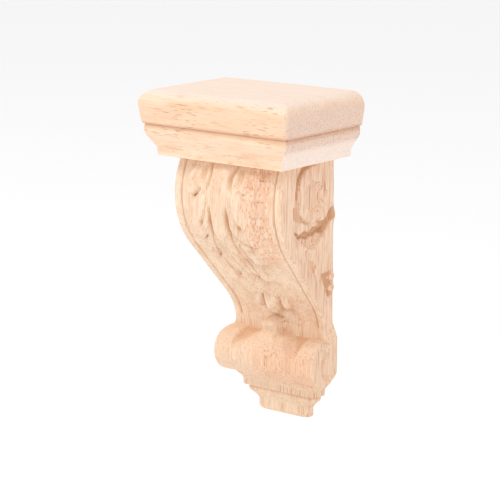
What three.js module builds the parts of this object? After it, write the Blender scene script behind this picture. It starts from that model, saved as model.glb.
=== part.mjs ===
// A small carved corbel in pale, straight-grained hardwood, made of two pieces glued together:
// a moulded cap with its grain across, and a scrolled body with its grain upright.
// Millimetres. X runs across, the front faces -Y and +Z is up. The flat back lies on Y = 0,
// and the origin is at the middle of that back.

import * as THREE from 'three';

const { clamp, degToRad, lerp, smoothstep } = THREE.MathUtils;

// Overall sizes
const CORBEL_HEIGHT = 110;
const CAP_WIDTH = 60;
const CAP_DEPTH = 40;
const CAP_HEIGHT = 21;
const BODY_HEIGHT = CORBEL_HEIGHT - CAP_HEIGHT;

// Cap moulding: each inset is measured in from the full outline, each drop down from the top
const TOP_ROUND = 4.8;
const CAP_CORNER_ROUND = 1.2;
const CAP_ARRIS_ROUND = 0.4;
const FASCIA_LEAN = 0.8;
const FASCIA_DROP = 10;
const QUIRK_DROP = 11;
const QUIRK_INSET = 1.9;
const BEAD_DROP = 13.2;
const BEAD_INSET = 1.6;
const FOOT_INSET = 5.1;
const FOOT_FRONT_INSET = 4;
const FOOT_LIP = 2.2;
const CAP_CORNER_STEPS = 4;
const CAP_CURVE_STEPS = 5;

// Roll across the lower end; heights are measured up from the foot, depths forward from the back
const ROLL_WIDTH = 40.6;
const ROLL_RADIUS = 7.6;
const ROLL_STRETCH = 1.1;
const ROLL_DEPTH = 5.5;
const ROLL_HEIGHT = 20.8;
const ROLL_TOP = ROLL_HEIGHT + ROLL_RADIUS;
const ROLL_FOOT = ROLL_HEIGHT - ROLL_RADIUS;
const ROLL_SHOULDER = ROLL_FOOT + 6.8;

// Body: its S-curve keeps its shape as shares of the body's height
const BODY_BACK_WIDTH = 36.6;
const SIDE_SPLAY = 0.103;
const ROLL_FLARE = 6.5;
const ROLL_FLARE_FRONT = 1.5;
const ROLL_RIM_ROUND = 3;
const BELLY_DEPTH = 31.9;
const BELLY_HEIGHT = 0.857 * BODY_HEIGHT;
const BELLY_RADIUS = 0.284 * BODY_HEIGHT;
const NECK_DEPTH = 4.1;
const NECK_HEIGHT = ROLL_TOP;
const NECK_RADIUS = 0.202 * BODY_HEIGHT;
const RIM_WIDTH = 3;
const RIM_LINE_WIDTH = 1.1;
const RIM_LINE_DEPTH = 0.55;
const ARRIS_ROUND = 0.7;

// Fan of flutes cut on the roll, the hollows beside it, which deepen over the roll's top, and the
// tongue and bud that the fan draws up into
const FAN_WIDTH = 20.6;
const FAN_LIFT = 0.7;
const FAN_FLUTE_DEPTH = 0.6;
const FAN_RIB_SPACING = 0.43;
const FAN_SHOULDER = ROLL_TOP - 5;
const HOLLOW_WIDTH = 25.4;
const HOLLOW_DEPTH = 3.2;
const HOLLOW_LINE_DEPTH = 0.4;
const TONGUE_WIDTH = 9;
const TONGUE_DEPTH = ROLL_DEPTH + 7.4;
const TONGUE_FLANK = 2.4;
const CREST_WIDTH = 7;
const CREST_SIZE = 1.9;
const CREST_HEIGHT = ROLL_TOP + 3.8;
const CREST_DEPTH = ROLL_DEPTH + 6;
const CREST_STEP = 2.6;
const ROLL_EYE_RADIUS = 4;
const ROLL_EYE_DEPTH = 0.8;
const ROLL_EYE_BACK = 1.2;
const ROLL_EYE_DROP = 0.6;

// Foot mouldings under the roll
const FOOT_WIDTH = 21.8;
const FOOT_DEPTH = 2.7;
const FOOT_BLOCK_HEIGHT = 3.5;
const FOOT_EDGE_ROUND = 1.7;
const COVE_HEIGHT = 2.7;
const COVE_REACH = 2.4;
const COVE_DEPTH = 1.6;
const FOOT_BEAD_HEIGHT = 2.3;
const FOOT_BEAD_REACH = 0.7;
const FILLET_HEIGHT = 1.8;
const FILLET_REACH = 2.2;
const FOOT_CORNER_ROUND = 3;
const CORNER_SHARE = 0.85;

// Leaf that hangs from the cap down the front
const LEAF_LENGTH = 0.585 * BODY_HEIGHT;
const LOBE_LIFT = 1.1;
const FLUTE_DEPTH = 0.3;
const STEM_SHARE = 0.17;
const STEM_LIFT = 0.9;
const EYE_DEPTH = 1.6;
const EYE_SHARE = 0.08;
const GROUND_HOLLOW = 0.6;

// Curled tip of the leaf: three rounded toes side by side, the middle one wider and prouder
const TIP_HEIGHT = 0.448 * BODY_HEIGHT;
const TIP_LENGTH = 8;
const MIDDLE_TOE_WIDTH = 5.4;
const MIDDLE_TOE_DEPTH = 11.6;
const SIDE_TOE_WIDTH = 4.6;
const SIDE_TOE_DEPTH = 10.3;
const TOE_SPACING = 5;

// Scroll eye and leaves on each side
const SCROLL_DEPTH = 12.4;
const SCROLL_HEIGHT = BODY_HEIGHT - 11;
const SCROLL_RADIUS = 9;
const SCROLL_DISH_RADIUS = 5.6;
const SCROLL_DISH_DEPTH = 1.1;
const SIDE_GROOVE_WIDTH = 3;
const SIDE_GROOVE_DEPTH = 1.3;
const CURL_DROP = 13.4;
const POCKET_HEIGHT = 0.525 * BODY_HEIGHT;
const POCKET_LENGTH = 9;
const POCKET_WIDTH = 8;

// Fineness of the carved surface
const LEAF_LEVELS = 37;
const ROLL_LEVELS = 15;
const SIDE_COLUMNS = 16;
const FRONT_COLUMNS = 21;
const CORNER_COLUMNS = 2;

const FOOT_LEVEL = -CORBEL_HEIGHT / 2;

// Joins rings of the same number of points, one above the other, into a closed solid.
// Every ring runs counter-clockwise seen from above; flat ends are filled from a point inside.
function stackRings(rings) {
  const count = rings[0].length;
  const positions = rings.flat(2);
  const triangles = [];
  for (let level = 0; level + 1 < rings.length; level += 1) {
    for (let i = 0; i < count; i += 1) {
      const j = (i + 1) % count;
      const low = level * count;
      const high = low + count;
      triangles.push(low + i, low + j, high + j, low + i, high + j, high + i);
    }
  }
  for (const end of [0, rings.length - 1]) {
    const ring = rings[end];
    const middle = positions.length / 3;
    const depth = ring.reduce((sum, point) => sum + point[1], 0) / count;
    positions.push(0, depth, ring[0][2]);
    for (let i = 0; i < count; i += 1) {
      const a = end * count + i;
      const b = end * count + (i + 1) % count;
      triangles.push(...(end === 0 ? [middle, b, a] : [middle, a, b]));
    }
  }
  const geometry = new THREE.BufferGeometry();
  geometry.setAttribute('position', new THREE.Float32BufferAttribute(positions, 3));
  geometry.setIndex(triangles);
  geometry.computeVertexNormals();
  return geometry;
}

// The cap's moulding from the underside up: a straight lip, a cove that turns into a bead,
// a quirk, a tall fascia that leans in a little, and a rounded top edge
function capMoulding() {
  const profile = new THREE.Path();
  profile.moveTo(FOOT_INSET, -CAP_HEIGHT);
  profile.lineTo(FOOT_INSET - 0.1, FOOT_LIP - CAP_HEIGHT);
  profile.bezierCurveTo(
    FOOT_INSET - 0.9, (FOOT_LIP - CAP_HEIGHT - BEAD_DROP) / 2 - 0.6,
    BEAD_INSET + 0.8, -BEAD_DROP - 2.6,
    BEAD_INSET, -BEAD_DROP,
  );
  profile.quadraticCurveTo(BEAD_INSET, -QUIRK_DROP - 0.4, QUIRK_INSET, -QUIRK_DROP);
  profile.quadraticCurveTo(FASCIA_LEAN + 0.1, -QUIRK_DROP + 0.1, FASCIA_LEAN, -FASCIA_DROP);
  profile.lineTo(0, -TOP_ROUND);
  profile.absarc(TOP_ROUND, -TOP_ROUND, TOP_ROUND, Math.PI, Math.PI / 2, true);
  return profile.getPoints(CAP_CURVE_STEPS).filter(
    (point, i, all) => i === 0 || point.distanceTo(all[i - 1]) > 0.05,
  );
}

// One level of the cap: square at the back, with two rounded corners at the front, which are
// crisper under the quirk than on the fascia; the cove is shallower along the front
function capRing(inset, drop) {
  const height = CORBEL_HEIGHT + FOOT_LEVEL + drop;
  const halfWidth = CAP_WIDTH / 2 - inset;
  const corner = drop > -QUIRK_DROP ? CAP_CORNER_ROUND : CAP_ARRIS_ROUND;
  const inCove = drop < -BEAD_DROP ? (inset - BEAD_INSET) / (FOOT_INSET - BEAD_INSET) : 0;
  const front = CAP_DEPTH - inset + (FOOT_INSET - FOOT_FRONT_INSET) * inCove - corner;
  const ring = [[halfWidth, 0, height], [-halfWidth, 0, height]];
  for (const side of [-1, 1]) {
    for (let i = 0; i <= CAP_CORNER_STEPS; i += 1) {
      const turn = (side < 0 ? i : CAP_CORNER_STEPS - i) / CAP_CORNER_STEPS * Math.PI / 2;
      const across = halfWidth - corner + corner * Math.cos(turn);
      const forward = front + corner * Math.sin(turn);
      ring.push([side * across, -forward, height]);
    }
  }
  return ring;
}

function buildCap() {
  return stackRings(capMoulding().map(({ x: inset, y: drop }) => capRing(inset, drop)));
}

// Depth of the front's S-curve: a belly arc and a neck arc joined by the line that touches both
function curveDepth(height) {
  const bellyCentre = BELLY_DEPTH - BELLY_RADIUS;
  const neckCentre = NECK_DEPTH + NECK_RADIUS;
  const across = neckCentre - bellyCentre;
  const down = BELLY_HEIGHT - NECK_HEIGHT;
  const radii = BELLY_RADIUS + NECK_RADIUS;
  const slope = Math.atan2(down, across) - Math.acos(radii / Math.hypot(across, down));
  const bellyEnd = BELLY_HEIGHT - BELLY_RADIUS * Math.sin(slope);
  const neckEnd = NECK_HEIGHT + NECK_RADIUS * Math.sin(slope);
  if (height > bellyEnd) {
    return bellyCentre + Math.sqrt(BELLY_RADIUS ** 2 - (height - BELLY_HEIGHT) ** 2);
  }
  if (height > neckEnd) {
    const start = bellyCentre + BELLY_RADIUS * Math.cos(slope);
    return start - (bellyEnd - height) * Math.tan(slope);
  }
  return neckCentre - Math.sqrt(NECK_RADIUS ** 2 - Math.max(height - NECK_HEIGHT, 0) ** 2);
}

// Depth of a roll of the given radius at a height, or 0 above and below it; it is an oval,
// a little deeper than it is high
function rollDepth(height, radius) {
  const rise = Math.abs(height - ROLL_HEIGHT);
  return rise < radius ? ROLL_DEPTH + ROLL_STRETCH * Math.sqrt(radius ** 2 - rise ** 2) : 0;
}

// The foot's mouldings at a height: how far they stand out from the bottom block
function footReach(height) {
  const coveTop = FOOT_BLOCK_HEIGHT + COVE_HEIGHT;
  const beadTop = coveTop + FOOT_BEAD_HEIGHT;
  const filletTop = beadTop + FILLET_HEIGHT;
  if (height < FOOT_EDGE_ROUND) {
    const rise = FOOT_EDGE_ROUND - height;
    return Math.sqrt(FOOT_EDGE_ROUND ** 2 - rise ** 2) - FOOT_EDGE_ROUND;
  }
  if (height < FOOT_BLOCK_HEIGHT) {
    return 0;
  }
  if (height < coveTop) {
    return COVE_REACH * ((height - FOOT_BLOCK_HEIGHT) / COVE_HEIGHT) ** 1.6;
  }
  if (height < beadTop) {
    return COVE_REACH + FOOT_BEAD_REACH * Math.sin(Math.PI * (height - coveTop) / FOOT_BEAD_HEIGHT);
  }
  const filletReach = COVE_REACH + FILLET_REACH;
  if (height < filletTop) {
    return filletReach;
  }
  const toRoll = (height - filletTop) / (ROLL_SHOULDER - filletTop);
  const swell = Math.sin(clamp(toRoll, 0, 1) * Math.PI / 2) ** 1.3;
  return lerp(filletReach, (ROLL_WIDTH - FOOT_WIDTH) / 2, swell);
}

// The foot's depth grows with its mouldings, but less than its width does
function footDepth(height) {
  return FOOT_DEPTH + COVE_DEPTH / COVE_REACH * Math.min(footReach(height), COVE_REACH * 2.4);
}

// Depth of the plain front at its two edges
function edgeDepth(height) {
  const foot = height < ROLL_SHOULDER ? footDepth(height) : 0;
  const curve = height > ROLL_FOOT ? curveDepth(height) : 0;
  return Math.max(foot, curve, rollDepth(height, ROLL_RADIUS));
}

// Half the width at a height and depth, before the side is carved
function halfWidthAt(height, depth) {
  if (height < ROLL_SHOULDER) {
    const foot = FOOT_WIDTH / 2 + footReach(height);
    const backOfRoll = 2 * ROLL_DEPTH - rollDepth(height, ROLL_RADIUS);
    const onRoll = height > ROLL_FOOT ? smoothstep(depth, backOfRoll - 1, backOfRoll + 3) : 0;
    return lerp(foot, ROLL_WIDTH / 2, onRoll);
  }
  const wall = BODY_BACK_WIDTH / 2 + SIDE_SPLAY * depth;
  const toFront = clamp(depth / NECK_DEPTH, 0, 1);
  const flareFoot = ROLL_TOP - ROLL_RIM_ROUND * toFront;
  const flareTop = ROLL_TOP + lerp(ROLL_FLARE, ROLL_FLARE_FRONT, toFront);
  return lerp(ROLL_WIDTH / 2, wall, smoothstep(height, flareFoot, flareTop));
}

// The leaf's lobes from the cap down, each given by where its lower edge leaves the stem (the eye)
// and where it ends (the tip): shares of the face's half width across, of the leaf's length down
const LOBES = [
  { eye: [0.42, 0.19], tip: [0.9, 0.248], bend: 2 },
  { eye: [0.18, 0.35], tip: [0.86, 0.515], bend: 2.2 },
  { eye: [0.17, 0.49], tip: [0.7, 0.66], bend: 1.5 },
  { eye: [0.17, 0.7], tip: [0.55, 0.8], bend: 1.3 },
  { eye: [0.1, 0.84], tip: [0.42, 0.93], bend: 1.3 },
];

// How far the leaf's middle stands in front of the rim, and what share of the face's half width
// the leaf spans, both from the cap down to the tip
const LEAF_CROWN = [3.4, 4.4, 4.7, 4.4, 3.4, 2.5, 1.6, 0.8];
const LEAF_SPREAD = [1, 1, 0.98, 0.94, 0.84, 0.7, 0.56, 0.5];

function alongLeaf(values, down) {
  const place = clamp(down, 0, 1) * (values.length - 1);
  const i = Math.min(Math.floor(place), values.length - 2);
  return lerp(values[i], values[i + 1], place - i);
}

// The lower edge of a lobe, as a share of the leaf's length, at a share of the half width
function lobeEdge({ eye, tip, bend }, across) {
  const along = clamp((across - eye[0]) / (tip[0] - eye[0]), 0, 1);
  return tip[1] - (tip[1] - eye[1]) * (1 - along) ** bend;
}

// How far the leaf stands out from the face: each lobe rises towards its own lower edge and
// is fluted along its length, a rounded stem runs down the middle, and eyes are cut beside it
function lobeRelief(across, down) {
  const ground = -GROUND_HOLLOW * (1 - across ** 2);
  const index = LOBES.findIndex((lobe) => down < lobeEdge(lobe, across));
  if (index < 0) {
    return ground;
  }
  const lobe = LOBES[index];
  const low = lobeEdge(lobe, across);
  const high = index > 0 ? lobeEdge(LOBES[index - 1], across) : low - 0.28;
  const rise = clamp((low - down) / Math.max(low - high, 0.02), 0, 1);
  const reach = lobe.tip[0] * (1 - 0.2 * (2 * rise - 0.8) ** 2);
  const onLeaf = 1 - smoothstep(across, reach - 0.22, reach);
  const spread = Math.min(across / alongLeaf(LEAF_SPREAD, down), 1);
  const pillow = alongLeaf(LEAF_CROWN, down) * (1 - spread ** 2) ** 0.8;
  const flutes = FLUTE_DEPTH * (0.5 - 0.5 * Math.cos(6 * Math.PI * rise));
  const offStem = smoothstep(across, lobe.eye[0] - 0.06, lobe.eye[0] + 0.14);
  const lift = (LOBE_LIFT * Math.sin(Math.PI * rise ** 0.6) - flutes) * offStem;
  const stemShare = STEM_SHARE * (1 - 0.5 * down);
  const stem = STEM_LIFT * Math.sqrt(Math.max(1 - (across / stemShare) ** 2, 0));
  const eye = Math.hypot((across - lobe.eye[0]) / EYE_SHARE, (down - lobe.eye[1] + 0.01) / 0.05);
  const pit = index < LOBES.length - 1 ? EYE_DEPTH * Math.exp(-(eye ** 2)) : 0;
  return lerp(ground, pillow + Math.max(lift, stem) - pit, onLeaf);
}

// Depth of the leaf's curled tip: each toe is an oval mound that rises from the wall behind it
function tipFace(x, height) {
  const rise = 2 * (height - TIP_HEIGHT) / TIP_LENGTH;
  const wall = curveDepth(height);
  const toe = (place, width, depth) => {
    const share = 2 * (Math.abs(x) - place) / width;
    const inside = 1 - share ** 2 - rise ** 2;
    return inside > 0 ? lerp(wall, depth, inside ** 0.45) : 0;
  };
  const middle = toe(0, MIDDLE_TOE_WIDTH, MIDDLE_TOE_DEPTH);
  return Math.max(middle, toe(TOE_SPACING, SIDE_TOE_WIDTH, SIDE_TOE_DEPTH));
}

// The fan on the roll narrows upward to the crest
function fanHalfWidth(height) {
  const rise = clamp((height - FAN_SHOULDER) / (CREST_HEIGHT - FAN_SHOULDER), 0, 1);
  return lerp(FAN_WIDTH / 2, CREST_WIDTH / 2, rise);
}

// Depth of the roll's front: plain at both ends, hollowed beside the fan, fluted on it
function rollFace(x, height) {
  const plain = rollDepth(height, ROLL_RADIUS);
  if (plain === 0) {
    return 0;
  }
  const share = x / fanHalfWidth(height);
  const onFan = 1 - smoothstep(Math.abs(share), 0.92, 1.06);
  const flutes = FAN_FLUTE_DEPTH * (0.5 - 0.5 * Math.cos(2 * Math.PI * share / FAN_RIB_SPACING));
  const fan = rollDepth(height, ROLL_RADIUS + FAN_LIFT) - flutes;
  const inHollow = 1 - smoothstep(Math.abs(x), HOLLOW_WIDTH / 2 - 0.6, HOLLOW_WIDTH / 2 + 1);
  const overTop = smoothstep(height, FAN_SHOULDER - 1, FAN_SHOULDER + 3);
  const hollow = plain - lerp(HOLLOW_LINE_DEPTH, HOLLOW_DEPTH, overTop) * inHollow;
  return lerp(hollow, fan, onFan);
}

// The tongue narrows and sinks back as it rises from the fan to the bud, with hollow flanks; the
// bud stands a step in front of it
function tongueFace(x, height) {
  const rise = (height - FAN_SHOULDER) / (CREST_HEIGHT - FAN_SHOULDER);
  if (rise <= 0 || rise >= 1) {
    return 0;
  }
  const half = lerp(TONGUE_WIDTH, CREST_WIDTH, rise) / 2;
  const flank = 1 - smoothstep(Math.abs(x), half - 1.2, half - 1.2 + TONGUE_FLANK);
  return lerp(curveDepth(height), lerp(TONGUE_DEPTH, CREST_DEPTH - CREST_STEP, rise), flank);
}

// A small rounded bud on top of the fan, a mound that rises from the wall behind it
function crestFace(x, height) {
  const away = (2 * x / CREST_WIDTH) ** 2 + ((height - CREST_HEIGHT) / CREST_SIZE) ** 2;
  return away < 1 ? lerp(curveDepth(height), CREST_DEPTH, (1 - away) ** 0.45) : 0;
}

// How far the S-curve leans forward at a height, as the tangent of the angle, levelled off
// towards the cap and the roll so that the carving meets both squarely
function curveLean(height) {
  const step = 0.01;
  const lean = (curveDepth(height + step) - curveDepth(height - step)) / (2 * step);
  const belowCap = 1 - smoothstep(height, BELLY_HEIGHT, BODY_HEIGHT - step);
  return lean * belowCap * smoothstep(height, CREST_HEIGHT, CREST_HEIGHT + CREST_SIZE * 2);
}

// A point of the carved front: the leaf stands square to the S-curve, the roll, the bud and the
// leaf's tip stand forward
function frontPoint(x, height, faceHalfWidth) {
  const plain = edgeDepth(height);
  if (height < ROLL_FOOT + 0.4) {
    return [x, -plain, height];
  }
  const inner = faceHalfWidth - RIM_WIDTH;
  const across = Math.abs(x) / inner;
  const line = RIM_LINE_DEPTH * clamp(1 - 2 * Math.abs(Math.abs(x) - inner) / RIM_LINE_WIDTH, 0, 1);
  const down = (BODY_HEIGHT - height) / LEAF_LENGTH;
  const onFace = height > ROLL_TOP ? 1 : 0;
  const relief = onFace * ((across < 1 ? lobeRelief(across, down) : 0) - line);
  const lean = Math.atan(height > ROLL_TOP ? curveLean(height) : 0);
  const carved = curveDepth(height) + relief * Math.cos(lean);
  const forward = Math.max(
    rollFace(x, height),
    tongueFace(x, height),
    crestFace(x, height),
    onFace * tipFace(x, height),
  );
  if (forward > carved) {
    return [x, -forward, height];
  }
  return [x, -carved, height - relief * Math.sin(lean)];
}

// 1 in the middle of a groove of the given width, 0 outside it
function groove(distance, width) {
  return 1 - smoothstep(Math.abs(distance), width * 0.15, width * 0.5);
}

// How far the carved side is cut in: a scroll eye at the top, leaf edges curling under it,
// a pocket beside the back and a smaller scroll eye on the roll's end
function sideCut(depth, height) {
  const forward = depth - SCROLL_DEPTH;
  const up = height - SCROLL_HEIGHT;
  const away = Math.hypot(forward, up);
  const turn = Math.atan2(up, forward);
  const ringSpan = smoothstep(turn, degToRad(-25), degToRad(-10)) * (1 - smoothstep(turn, 1.4, 1.8));
  const ring = groove(away - SCROLL_RADIUS - SIDE_GROOVE_WIDTH / 2, SIDE_GROOVE_WIDTH) * ringSpan;
  const dish = 1 - smoothstep(away, SCROLL_DISH_RADIUS - 2, SCROLL_DISH_RADIUS);
  const sag = 0.04 * Math.max(-forward, 0) ** 2 + 0.02 * Math.max(forward - 4, 0) ** 2;
  const curl = groove(up + CURL_DROP - sag, SIDE_GROOVE_WIDTH * 1.3)
    * (1 - smoothstep(forward, 7.6, 11.6)) * smoothstep(depth, 0.5, 3);
  const pocketRise = (height - POCKET_HEIGHT) / POCKET_LENGTH;
  const pocketEdge = POCKET_WIDTH * clamp(pocketRise + 0.5, 0, 1);
  const pocket = (1 - smoothstep(Math.abs(pocketRise), 0.4, 0.6))
    * (1 - smoothstep(depth, pocketEdge - 1, pocketEdge)) * smoothstep(depth, 0.2, 1.6);
  const eyeForward = depth - ROLL_DEPTH + ROLL_EYE_BACK;
  const eyeAway = Math.hypot(eyeForward, height - ROLL_HEIGHT + ROLL_EYE_DROP);
  const eye = ROLL_EYE_DEPTH * groove(eyeAway - ROLL_EYE_RADIUS, SIDE_GROOVE_WIDTH * 0.8)
    * smoothstep(eyeForward, -2, 0.5);
  return SIDE_GROOVE_DEPTH * Math.max(ring, curl, pocket) + SCROLL_DISH_DEPTH * dish + eye;
}

// Places across the front, from the left edge to the right: the rim, its incised line, the face
function frontPlaces(halfWidth, corner) {
  const line = halfWidth - Math.max(RIM_WIDTH, corner + RIM_LINE_WIDTH);
  const face = line - RIM_LINE_WIDTH / 2;
  const places = [-line - RIM_LINE_WIDTH / 2, -line, -face];
  for (let i = 1; i <= FRONT_COLUMNS; i += 1) {
    places.push(lerp(-face, face, i / (FRONT_COLUMNS + 1)));
  }
  places.push(face, line, line + RIM_LINE_WIDTH / 2);
  return places;
}

// One level of the body: up the left side's depth, round the corner, across, and back again
function bodyRing(height) {
  const depth = edgeDepth(height);
  const softness = 1 - smoothstep(height, ROLL_FOOT - 2, ROLL_FOOT);
  const corner = lerp(ARRIS_ROUND, FOOT_CORNER_ROUND, softness);
  const cornerDepth = Math.min(corner, depth * CORNER_SHARE);
  const front = depth - cornerDepth;
  const halfWidth = halfWidthAt(height, front);
  const left = [];
  for (let i = 0; i < SIDE_COLUMNS; i += 1) {
    const y = front * i / SIDE_COLUMNS;
    const cut = height > ROLL_FOOT ? sideCut(y, height) : 0;
    left.push([-(halfWidthAt(height, y) - cut), -y, height]);
  }
  for (let i = 0; i <= CORNER_COLUMNS; i += 1) {
    const turn = i / CORNER_COLUMNS * Math.PI / 2;
    const across = halfWidth - corner + corner * Math.cos(turn);
    left.push([-across, -(front + cornerDepth * Math.sin(turn)), height]);
  }
  const right = left.map(([x, y, z]) => [-x, y, z]).reverse();
  const across = frontPlaces(halfWidth, corner).map((x) => frontPoint(x, height, halfWidth));
  return [...left, ...across, ...right].map(([x, y, z]) => [x, y, z + FOOT_LEVEL]);
}

// Heights of the body's levels: close together where the mouldings and the roll turn
function bodyLevels() {
  const coveTop = FOOT_BLOCK_HEIGHT + COVE_HEIGHT;
  const beadTop = coveTop + FOOT_BEAD_HEIGHT;
  const filletTop = beadTop + FILLET_HEIGHT;
  const levels = [0, FOOT_EDGE_ROUND / 3, FOOT_EDGE_ROUND, FOOT_BLOCK_HEIGHT];
  levels.push(FOOT_BLOCK_HEIGHT + COVE_HEIGHT / 2, coveTop, coveTop + FOOT_BEAD_HEIGHT / 4);
  levels.push(beadTop - FOOT_BEAD_HEIGHT / 4, beadTop, beadTop + 0.1, filletTop);
  levels.push((filletTop + ROLL_FOOT) / 2);
  for (let i = 0; i <= ROLL_LEVELS; i += 1) {
    levels.push(ROLL_HEIGHT - ROLL_RADIUS * Math.cos(Math.PI * i / ROLL_LEVELS));
  }
  for (let i = 1; i <= LEAF_LEVELS; i += 1) {
    levels.push(lerp(ROLL_TOP, BODY_HEIGHT, i / LEAF_LEVELS));
  }
  return levels;
}

function buildBody() {
  return stackRings(bodyLevels().map(bodyRing));
}

function piece(name, geometry, colour, roughness) {
  const material = new THREE.MeshStandardMaterial({ color: colour, roughness, metalness: 0 });
  const mesh = new THREE.Mesh(geometry, material);
  mesh.name = name;
  return mesh;
}

const corbel = new THREE.Group();
corbel.add(piece('cap', buildCap(), 0xfadabc, 0.72));
corbel.add(piece('body', buildBody(), 0xf0cba6, 0.74));

export default corbel;
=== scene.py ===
"""A small carved corbel in pale hardwood, finished and lit as on a sales photograph.

Two pieces of wood, both in the frame's place: the scrolled body with its grain upright, and the
moulded cap glued on top of it with its grain across. Shapes are worked out in millimetres, with
heights measured up from the foot and depths forward from the flat back, and put into the meshes
in metres.
"""
import math

import bpy
import numpy as np
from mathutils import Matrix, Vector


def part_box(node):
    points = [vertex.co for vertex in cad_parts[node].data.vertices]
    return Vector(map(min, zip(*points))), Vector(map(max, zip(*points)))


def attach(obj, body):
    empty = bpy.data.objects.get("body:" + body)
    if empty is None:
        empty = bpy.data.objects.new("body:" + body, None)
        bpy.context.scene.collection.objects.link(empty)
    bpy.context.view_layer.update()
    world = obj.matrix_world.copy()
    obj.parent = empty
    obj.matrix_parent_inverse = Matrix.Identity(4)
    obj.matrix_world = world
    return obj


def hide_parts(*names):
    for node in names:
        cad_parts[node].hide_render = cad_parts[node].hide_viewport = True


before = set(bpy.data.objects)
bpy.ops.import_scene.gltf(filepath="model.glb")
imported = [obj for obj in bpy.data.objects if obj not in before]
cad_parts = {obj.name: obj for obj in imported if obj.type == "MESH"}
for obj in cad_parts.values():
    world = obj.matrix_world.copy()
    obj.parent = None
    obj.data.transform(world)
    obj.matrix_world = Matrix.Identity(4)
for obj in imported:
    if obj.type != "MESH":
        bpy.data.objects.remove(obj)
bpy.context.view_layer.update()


# Body
# A bracket of rubberwood with upright grain, shaped to an S-curve and machine carved: a leaf
# hangs down its front, scrolls are cut in its sides, and a roll and mouldings end it at the foot.

(_, _, FOOT_LEVEL), (_, _, BODY_TOP) = [
    [1000 * value for value in corner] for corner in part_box("body")]
BODY_HEIGHT = BODY_TOP - FOOT_LEVEL

ROLL_WIDTH = 40.6
ROLL_RADIUS = 7.6
ROLL_STRETCH = 1.1
ROLL_DEPTH = 5.5
ROLL_HEIGHT = 20.8
ROLL_TOP = ROLL_HEIGHT + ROLL_RADIUS
ROLL_FOOT = ROLL_HEIGHT - ROLL_RADIUS
ROLL_SHOULDER = ROLL_FOOT + 6.8

BACK_WIDTH = 36.6
SIDE_SPLAY = 0.103
ROLL_FLARE = 6.5
ROLL_FLARE_FRONT = 1.5
ROLL_RIM_ROUND = 3
BELLY_DEPTH = 31.9
BELLY_HEIGHT = 0.857 * BODY_HEIGHT
BELLY_RADIUS = 0.284 * BODY_HEIGHT
NECK_DEPTH = 4.1
NECK_RADIUS = 0.202 * BODY_HEIGHT
RIM_WIDTH = 3
RIM_LINE_WIDTH = 0.8
RIM_LINE_DEPTH = 0.75
ARRIS_ROUND = 0.7

FOOT_WIDTH = 21.8
FOOT_DEPTH = 2.7
FOOT_EDGE_ROUND = 1.7
FOOT_CORNER_ROUND = 3
CORNER_SHARE = 0.85
FOOT_OVERLAP = 0.4
BLOCK_TOP = 3.5
COVE_TOP = BLOCK_TOP + 2.7
BEAD_TOP = COVE_TOP + 2.3
FILLET_TOP = BEAD_TOP + 1.8
COVE_REACH = 2.4
BEAD_REACH = 0.7
FILLET_REACH = 4.6
FOOT_DEPTH_SHARE = 0.667


def ease(value, low, high):
    """0 below low, 1 above high, and an S-shaped rise between them."""
    share = np.clip((value - low) / (high - low), 0, 1)
    return share * share * (3 - 2 * share)


def within(value, start, full, fading, end):
    """0 outside start and end, 1 from full to fading, with S-shaped rises between."""
    return ease(value, start, full) * (1 - ease(value, fading, end))


def hump(value, middle, reach):
    """1 in the middle, sinking to nothing on both sides within about twice the reach."""
    return np.exp(-((value - middle) / reach)**2)


def curve_depth(height):
    """Depth of the front's S-curve: a belly arc and a neck arc joined by their common tangent."""
    belly = BELLY_DEPTH - BELLY_RADIUS
    neck = NECK_DEPTH + NECK_RADIUS
    down = BELLY_HEIGHT - ROLL_TOP
    reach = (BELLY_RADIUS + NECK_RADIUS) / math.hypot(neck - belly, down)
    slope = math.atan2(down, neck - belly) - math.acos(reach)
    belly_end = BELLY_HEIGHT - BELLY_RADIUS * math.sin(slope)
    neck_end = ROLL_TOP + NECK_RADIUS * math.sin(slope)
    on_belly = belly + np.sqrt(np.maximum(BELLY_RADIUS**2 - (height - BELLY_HEIGHT)**2, 0))
    on_line = belly + BELLY_RADIUS * math.cos(slope) - (belly_end - height) * math.tan(slope)
    rise = np.clip(height - ROLL_TOP, 0, NECK_RADIUS)
    on_neck = neck - np.sqrt(NECK_RADIUS**2 - rise**2)
    return np.where(height > belly_end, on_belly, np.where(height > neck_end, on_line, on_neck))


def curve_lean(height):
    """Angle by which the S-curve leans forward, eased to nothing at the cap and at the roll."""
    lean = (curve_depth(height + 0.01) - curve_depth(height - 0.01)) / 0.02
    upright_ends = within(height, ROLL_TOP + 3.2, ROLL_TOP + 7.6, BELLY_HEIGHT, BODY_HEIGHT - 0.01)
    return np.arctan(lean * upright_ends)


def roll_depth(height, radius):
    """Depth of an oval roll of the given radius at a height, or 0 above and below it."""
    rise = np.minimum(np.abs(height - ROLL_HEIGHT), radius)
    return np.where(rise < radius, ROLL_DEPTH + ROLL_STRETCH * np.sqrt(radius**2 - rise**2), 0)


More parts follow.
